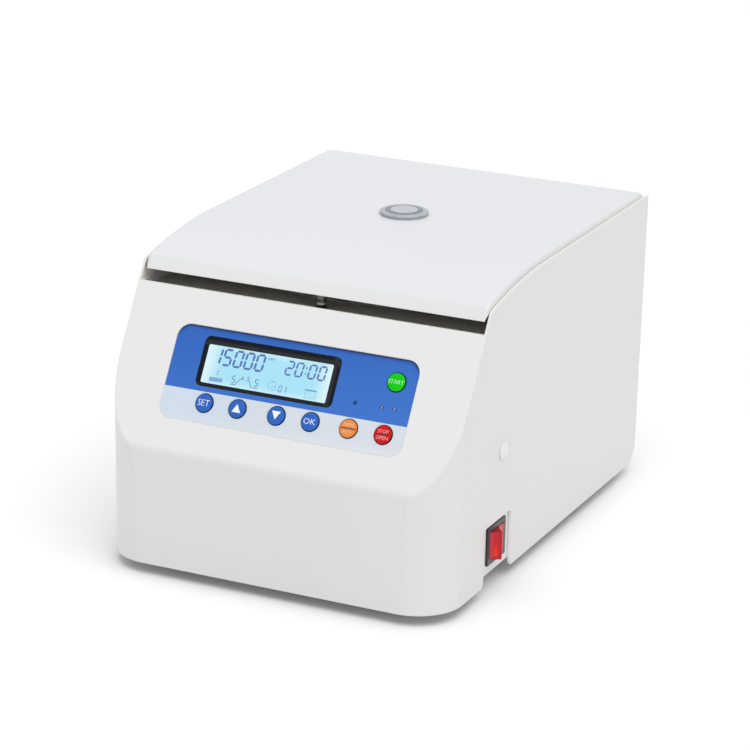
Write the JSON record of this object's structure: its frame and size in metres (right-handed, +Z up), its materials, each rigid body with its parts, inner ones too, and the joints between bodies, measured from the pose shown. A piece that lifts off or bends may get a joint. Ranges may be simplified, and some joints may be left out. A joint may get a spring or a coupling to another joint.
{
  "type": "hematocrit centrifuge",
  "caption": "Squat bench centrifuge with a sloped keypad face, hinged lid with a round sight window, slotted rotor in a steel bowl, side rocker switch and rear mains inlet.",
  "frame": {"origin": "on the bench, in the middle of the footprint", "axes": "+Z up, the front with the control face towards -Y, +X to the user's right"},
  "size_m": [0.2688, 0.355, 0.2218],
  "materials": {
    "housing_plastic": "satin moulded, fine texture",
    "lid_plastic": "semi-gloss moulded",
    "tray_paint": "white powder coat",
    "panel_paint": "light powder coat",
    "deck_plastic": "dark grey, satin",
    "stainless": "spun and brushed",
    "steel": "plain",
    "motor_case": "black paint",
    "rotor_alloy": "anodised",
    "liner_alloy": "painted light grey",
    "rubber_black": "matte",
    "rubber_red": "matte silicone",
    "screw_steel": "bright",
    "label_print": "printed film, blue above, pale below",
    "black_plastic": "gloss",
    "clear_acrylic": "clear, slight blue tint",
    "lcd_glass": "lit, light cyan",
    "board_green": "solder mask",
    "part_black": "moulded",
    "lamp_lens": "small lens",
    "laminated_steel": "laminated core",
    "contact_brass": "plated",
    "rocker_red": "translucent red",
    "cap_white": "gloss",
    "button_green": "gloss",
    "button_blue": "gloss",
    "button_orange": "gloss",
    "button_red": "gloss",
    "fuse_glass": "glass with end caps"
  },
  "bodies": {
    "root": {"housing_shell": "housing_plastic", "chassis_tray": "tray_paint", "rear_panel": "panel_paint", "panel_screws": "screw_steel", "deck_plate": "deck_plastic", "chamber_bowl": "stainless", "bowl_gasket": "rubber_black", "motor_plate": "steel", "standoffs": "steel", "motor_dampers": "rubber_black", "motor_housing": "motor_case", "shaft_boot": "rubber_black", "feet": "rubber_black", "foot_screws": "screw_steel", "control_label": "label_print", "display_frame": "black_plastic", "display_lens": "clear_acrylic", "lcd_module": "lcd_glass", "control_board": "board_green", "tact_switches": "part_black", "indicator_leds": "lamp_lens", "driver_board": "board_green", "board_capacitors": "part_black", "heatsink": "rotor_alloy", "transformer": "laminated_steel", "inlet_socket": "black_plastic", "inlet_pins": "contact_brass", "switch_housing": "black_plastic", "switch_terminals": "contact_brass", "side_caps": "cap_white", "side_screws": "screw_steel", "latch_frame": "steel", "latch_solenoid": "part_black", "lid_sensor": "part_black", "hinge_brackets": "steel"},
    "lid": {"lid_cover": "lid_plastic", "lid_liner": "liner_alloy", "lid_screws": "screw_steel", "sight_window": "clear_acrylic", "window_nut": "part_black", "striker": "screw_steel", "hinge_arms": "steel", "hinge_pins": "screw_steel"},
    "rotor": {"motor_shaft": "steel", "rotor_disc": "rotor_alloy", "rim_gasket": "rubber_red", "rotor_cover": "rotor_alloy"},
    "knob": {"cover_knob": "part_black"},
    "latch": {"latch_bolt": "steel", "solenoid_plunger": "screw_steel"},
    "rocker": {"rocker": "rocker_red"},
    "fuse_drawer": {"fuse_drawer": "black_plastic", "fuses": "fuse_glass"},
    "start_button": {"start_button": "button_green"},
    "set_button": {"set_button": "button_blue"},
    "up_button": {"up_button": "button_blue"},
    "down_button": {"down_button": "button_blue"},
    "ok_button": {"ok_button": "button_blue"},
    "mode_button": {"mode_button": "button_orange"},
    "stop_button": {"stop_button": "button_red"}
  },
  "joints": [
    {"name": "lid_hinge", "type": "hinge", "parent": "root", "child": "lid", "pos_m": [0, 0.164, 0.2052], "axis": [-1, 0, 0], "range_deg": [0, 75]},
    {"name": "rotor_spin", "type": "hinge", "parent": "root", "child": "rotor", "pos_m": [0, 0.0328, 0.165], "axis": [0, 0, 1], "continuous": true},
    {"name": "knob_turn", "type": "hinge", "parent": "rotor", "child": "knob", "pos_m": [0, 0.0328, 0.184], "axis": [0, 0, 1], "continuous": true},
    {"name": "latch_slide", "type": "slide", "parent": "root", "child": "latch", "axis": [1, 0, 0], "range_m": [0, 0.006], "stiffness_N_per_m": 150, "springref_m": -0.004},
    {"name": "rocker_tilt", "type": "hinge", "parent": "root", "child": "rocker", "pos_m": [0.1254, -0.0864, 0.0345], "axis": [0, 0, 1], "range_deg": [-37, 0]},
    {"name": "fuse_drawer_slide", "type": "slide", "parent": "root", "child": "fuse_drawer", "axis": [0, 1, 0], "range_m": [0, 0.018]},
    {"name": "start_button_press", "type": "slide", "parent": "root", "child": "start_button", "axis": [0, 0.8609, -0.5087], "range_m": [0, 0.0007], "stiffness_N_per_m": 1000, "springref_m": -0.0006},
    {"name": "set_button_press", "type": "slide", "parent": "root", "child": "set_button", "axis": [0, 0.8609, -0.5087], "range_m": [0, 0.0007], "stiffness_N_per_m": 1000, "springref_m": -0.0006},
    {"name": "up_button_press", "type": "slide", "parent": "root", "child": "up_button", "axis": [0, 0.8609, -0.5087], "range_m": [0, 0.0007], "stiffness_N_per_m": 1000, "springref_m": -0.0006},
    {"name": "down_button_press", "type": "slide", "parent": "root", "child": "down_button", "axis": [0, 0.8609, -0.5087], "range_m": [0, 0.0007], "stiffness_N_per_m": 1000, "springref_m": -0.0006},
    {"name": "ok_button_press", "type": "slide", "parent": "root", "child": "ok_button", "axis": [0, 0.8609, -0.5087], "range_m": [0, 0.0007], "stiffness_N_per_m": 1000, "springref_m": -0.0006},
    {"name": "mode_button_press", "type": "slide", "parent": "root", "child": "mode_button", "axis": [0, 0.8609, -0.5087], "range_m": [0, 0.0007], "stiffness_N_per_m": 1000, "springref_m": -0.0006},
    {"name": "stop_button_press", "type": "slide", "parent": "root", "child": "stop_button", "axis": [0, 0.8609, -0.5087], "range_m": [0, 0.0007], "stiffness_N_per_m": 1000, "springref_m": -0.0006}
  ]
}
